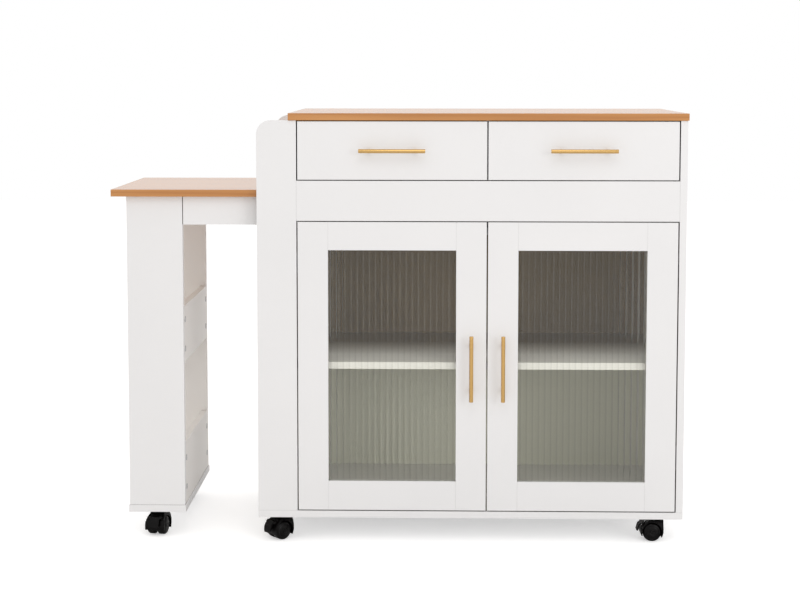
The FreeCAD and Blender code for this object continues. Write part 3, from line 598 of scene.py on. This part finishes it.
# ---- casters ---------------------------------------------------------------------------------
# Twin hard wheels under a moulded black nylon hood that swivels on a kingpin in a screwed-on
# plate. The casters at the cabinet's front and at the leg box's front have a foot lever whose
# shoe comes down close to the treads.
CASTERS = ("front_left", "front_right", "back_left", "back_right", "leg_front", "leg_back")
BLACK = (0.0030, 0.0025, 0.0025)
NYLON_TOOTH_PER_M = 1100
NYLON_TOOTH_DEEP = 0.00004
WHEEL_TOOTH_PER_M = 900
WHEEL_TOOTH_DEEP = 0.00003
HOOD_ARRIS = 0.0008
WHEEL_R = 0.020
WHEEL_IN = 0.0039
WHEEL_OUT = 0.0215
WHEEL_ROUND = 0.0012
WHEEL_CREASE = 0.9
AXLE_HALF = 0.004
AXLE_R = 0.003
PLATE_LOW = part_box("cabinet_caster_plates")[0].z
SCREW_OUT = 0.017
SCREW_R = 0.003
SCREW_CAP_R = SCREW_R * 0.6
SCREW_RIM = 0.0005
SCREW_PROUD = 0.0010

# One wheel from the hood outwards, each point by its distance along the axle and its radius: the
# inner face, the tread and its rounded shoulder, a ring groove, the dished side and the hub cap.
WHEEL = [(WHEEL_IN, 0), (WHEEL_IN, WHEEL_R - WHEEL_ROUND), (WHEEL_IN + WHEEL_ROUND, WHEEL_R),
         (0.0150, WHEEL_R), (0.0172, WHEEL_R - 0.0006), (0.0190, WHEEL_R - 0.0022),
         (0.0200, WHEEL_R - 0.0045), (0.0203, WHEEL_R - 0.0056),
         (0.0196, WHEEL_R - 0.0064), (0.0203, WHEEL_R - 0.0072),
         (0.0209, 0.0095), (0.0213, 0.0065), (0.0206, 0.0058), (0.0206, 0.0046),
         (WHEEL_OUT, 0.0040), (WHEEL_OUT, 0)]
SCREW = [(0, 0), (0, SCREW_R), (SCREW_RIM, SCREW_R), (SCREW_PROUD, SCREW_CAP_R), (SCREW_PROUD, 0)]

nylon, nylon_shader = finish("black_nylon", BLACK, roughness=0.32, shine=0.13)
pebble(nylon, nylon_shader, NYLON_TOOTH_PER_M, NYLON_TOOTH_DEEP)
rubber, rubber_shader = finish("hard_wheel", BLACK, roughness=0.28, shine=0.15)
pebble(rubber, rubber_shader, WHEEL_TOOTH_PER_M, WHEEL_TOOTH_DEEP)

joints = {joint["name"]: joint for joint in frame["joints"]}
for name in CASTERS:
    roll = joints[f"{name}_roll"]
    eased(f"caster_{name}_hood", nylon, HOOD_ARRIS)
    if f"caster_{name}_brake" in frame["nodes"]:
        eased(f"caster_{name}_brake", nylon, MOULDED_ARRIS)
    heart = Vector(roll["pos_m"])
    wheels = [turned(WHEEL, heart, Vector(roll["axis"]) * way, steps=72) for way in (-1, 1)]
    axle = turned(square_rod(AXLE_HALF, AXLE_R), heart, roll["axis"])
    solid(f"caster_{name}_wheels_moulded", [*wheels, axle], rubber, f"wheels_{name}",
          [f"caster_{name}_wheels"], WHEEL_CREASE)

for name in ("cabinet_caster_plates", "leg_caster_plates"):
    eased(name, nylon, MOULDED_ARRIS)
for body, start in (("cabinet", ("front", "back")), ("side_table", ("leg",))):
    screws = []
    for name in CASTERS:
        if name.startswith(start):
            x, y, _ = joints[f"{name}_swivel"]["pos_m"]
            for dx in (-SCREW_OUT, SCREW_OUT):
                for dy in (-SCREW_OUT, SCREW_OUT):
                    screws.append(turned(SCREW, (x + dx, y + dy, PLATE_LOW), (0, 0, -1), steps=20))
    solid(f"{body}_caster_screws", screws, zinc, body)

# ---- studio ----------------------------------------------------------------------------------
# A plain white floor that takes the soft shadow, a broad lamp in front on the right, another above
# the front, and a pale room all round, seen as plain white behind the island and in its metal.
FLOOR = (0.90, 0.90, 0.90)
FLOOR_HALF = 9
FLOOR_LIFT = 0.46
ROOM = 0.875
ROOM_HUE = (1.0, 0.985, 0.965)
PLAIN_WHITE = (1, 1, 1)
LAMP_AIM = Vector((0, 0, 0.45))

ground = bpy.data.meshes.new("floor")
ground.from_pydata([(-FLOOR_HALF, -FLOOR_HALF, 0), (FLOOR_HALF, -FLOOR_HALF, 0),
                    (FLOOR_HALF, FLOOR_HALF, 0), (-FLOOR_HALF, FLOOR_HALF, 0)],
                   [], [(0, 1, 2, 3)])
floor = bpy.data.objects.new("floor", ground)
bpy.context.scene.collection.objects.link(floor)
paper, paper_shader = finish("floor_paper", FLOOR, roughness=0.9, shine=0.0)
seen = paper.node_tree.nodes.new("ShaderNodeLightPath")
paper.node_tree.links.new(calc(paper, "MULTIPLY", seen.outputs["Is Camera Ray"], FLOOR_LIFT),
                          paper_shader.inputs["Emission Strength"])
paper_shader.inputs["Emission Color"].default_value = (*PLAIN_WHITE, 1)
ground.materials.append(paper)

# The room is plain white to the eye, in metal and through glass, and gives the boards its own
# softer light. A ray that a board has already scattered meets that softer light too.
world = bpy.data.worlds.new("room")
bpy.context.scene.world = world
world.use_nodes = True
sky = world.node_tree.nodes["Background"]
path = world.node_tree.nodes.new("ShaderNodeLightPath").outputs
mirrored = calc(world, "MAXIMUM", path["Is Camera Ray"], path["Is Glossy Ray"])
looked_at = calc(world, "MAXIMUM", mirrored, path["Is Transmission Ray"])
unscattered = calc(world, "LESS_THAN", path["Diffuse Depth"], 0.5)
shown = calc(world, "MULTIPLY", looked_at, unscattered)
world.node_tree.links.new(share(world, shown, 0.0, 1.0, ROOM, 1.0), sky.inputs["Strength"])
world.node_tree.links.new(blend(world, shown, ROOM_HUE, PLAIN_WHITE), sky.inputs["Color"])


def lamp(name, size, watts, colour, place):
    """A round soft lamp at this place, turned towards the island's middle."""
    light = bpy.data.lights.new(name, "AREA")
    light.shape = "DISK"
    light.size = size
    light.energy = watts
    light.color = colour
    stand = bpy.data.objects.new(name, light)
    stand.location = place
    stand.rotation_euler = (LAMP_AIM - stand.location).to_track_quat("-Z", "Y").to_euler()
    bpy.context.scene.collection.objects.link(stand)


lamp("key", size=1.5, watts=22, colour=(0.975, 0.975, 1.0), place=(2.9, -3.9, 1.45))
lamp("high", size=1.8, watts=13, colour=(0.99, 0.985, 1.0), place=(0.3, -2.9, 3.1))

# ---- camera ----------------------------------------------------------------------------------
# A short telephoto a little above the worktop and a little left of the cabinet's middle, tilted
# slightly down.
LENS_MM = 73.46
SENSOR_MM = 36
LENS_SHIFT = -0.12
CAMERA_PLACE = (0.0810, -3.6323, 1.0035)
TILT_DOWN = 0.0808
ROLL = -0.0004
TURN_LEFT = 0.0220

lens = bpy.data.cameras.new("camera")
lens.sensor_width = SENSOR_MM
lens.lens = LENS_MM
lens.shift_y = LENS_SHIFT
camera = bpy.data.objects.new("camera", lens)
camera.location = CAMERA_PLACE
camera.rotation_euler = (math.pi / 2 - TILT_DOWN, ROLL, TURN_LEFT)
bpy.context.scene.collection.objects.link(camera)
bpy.context.scene.camera = camera
bpy.context.scene.view_settings.view_transform = "Standard"
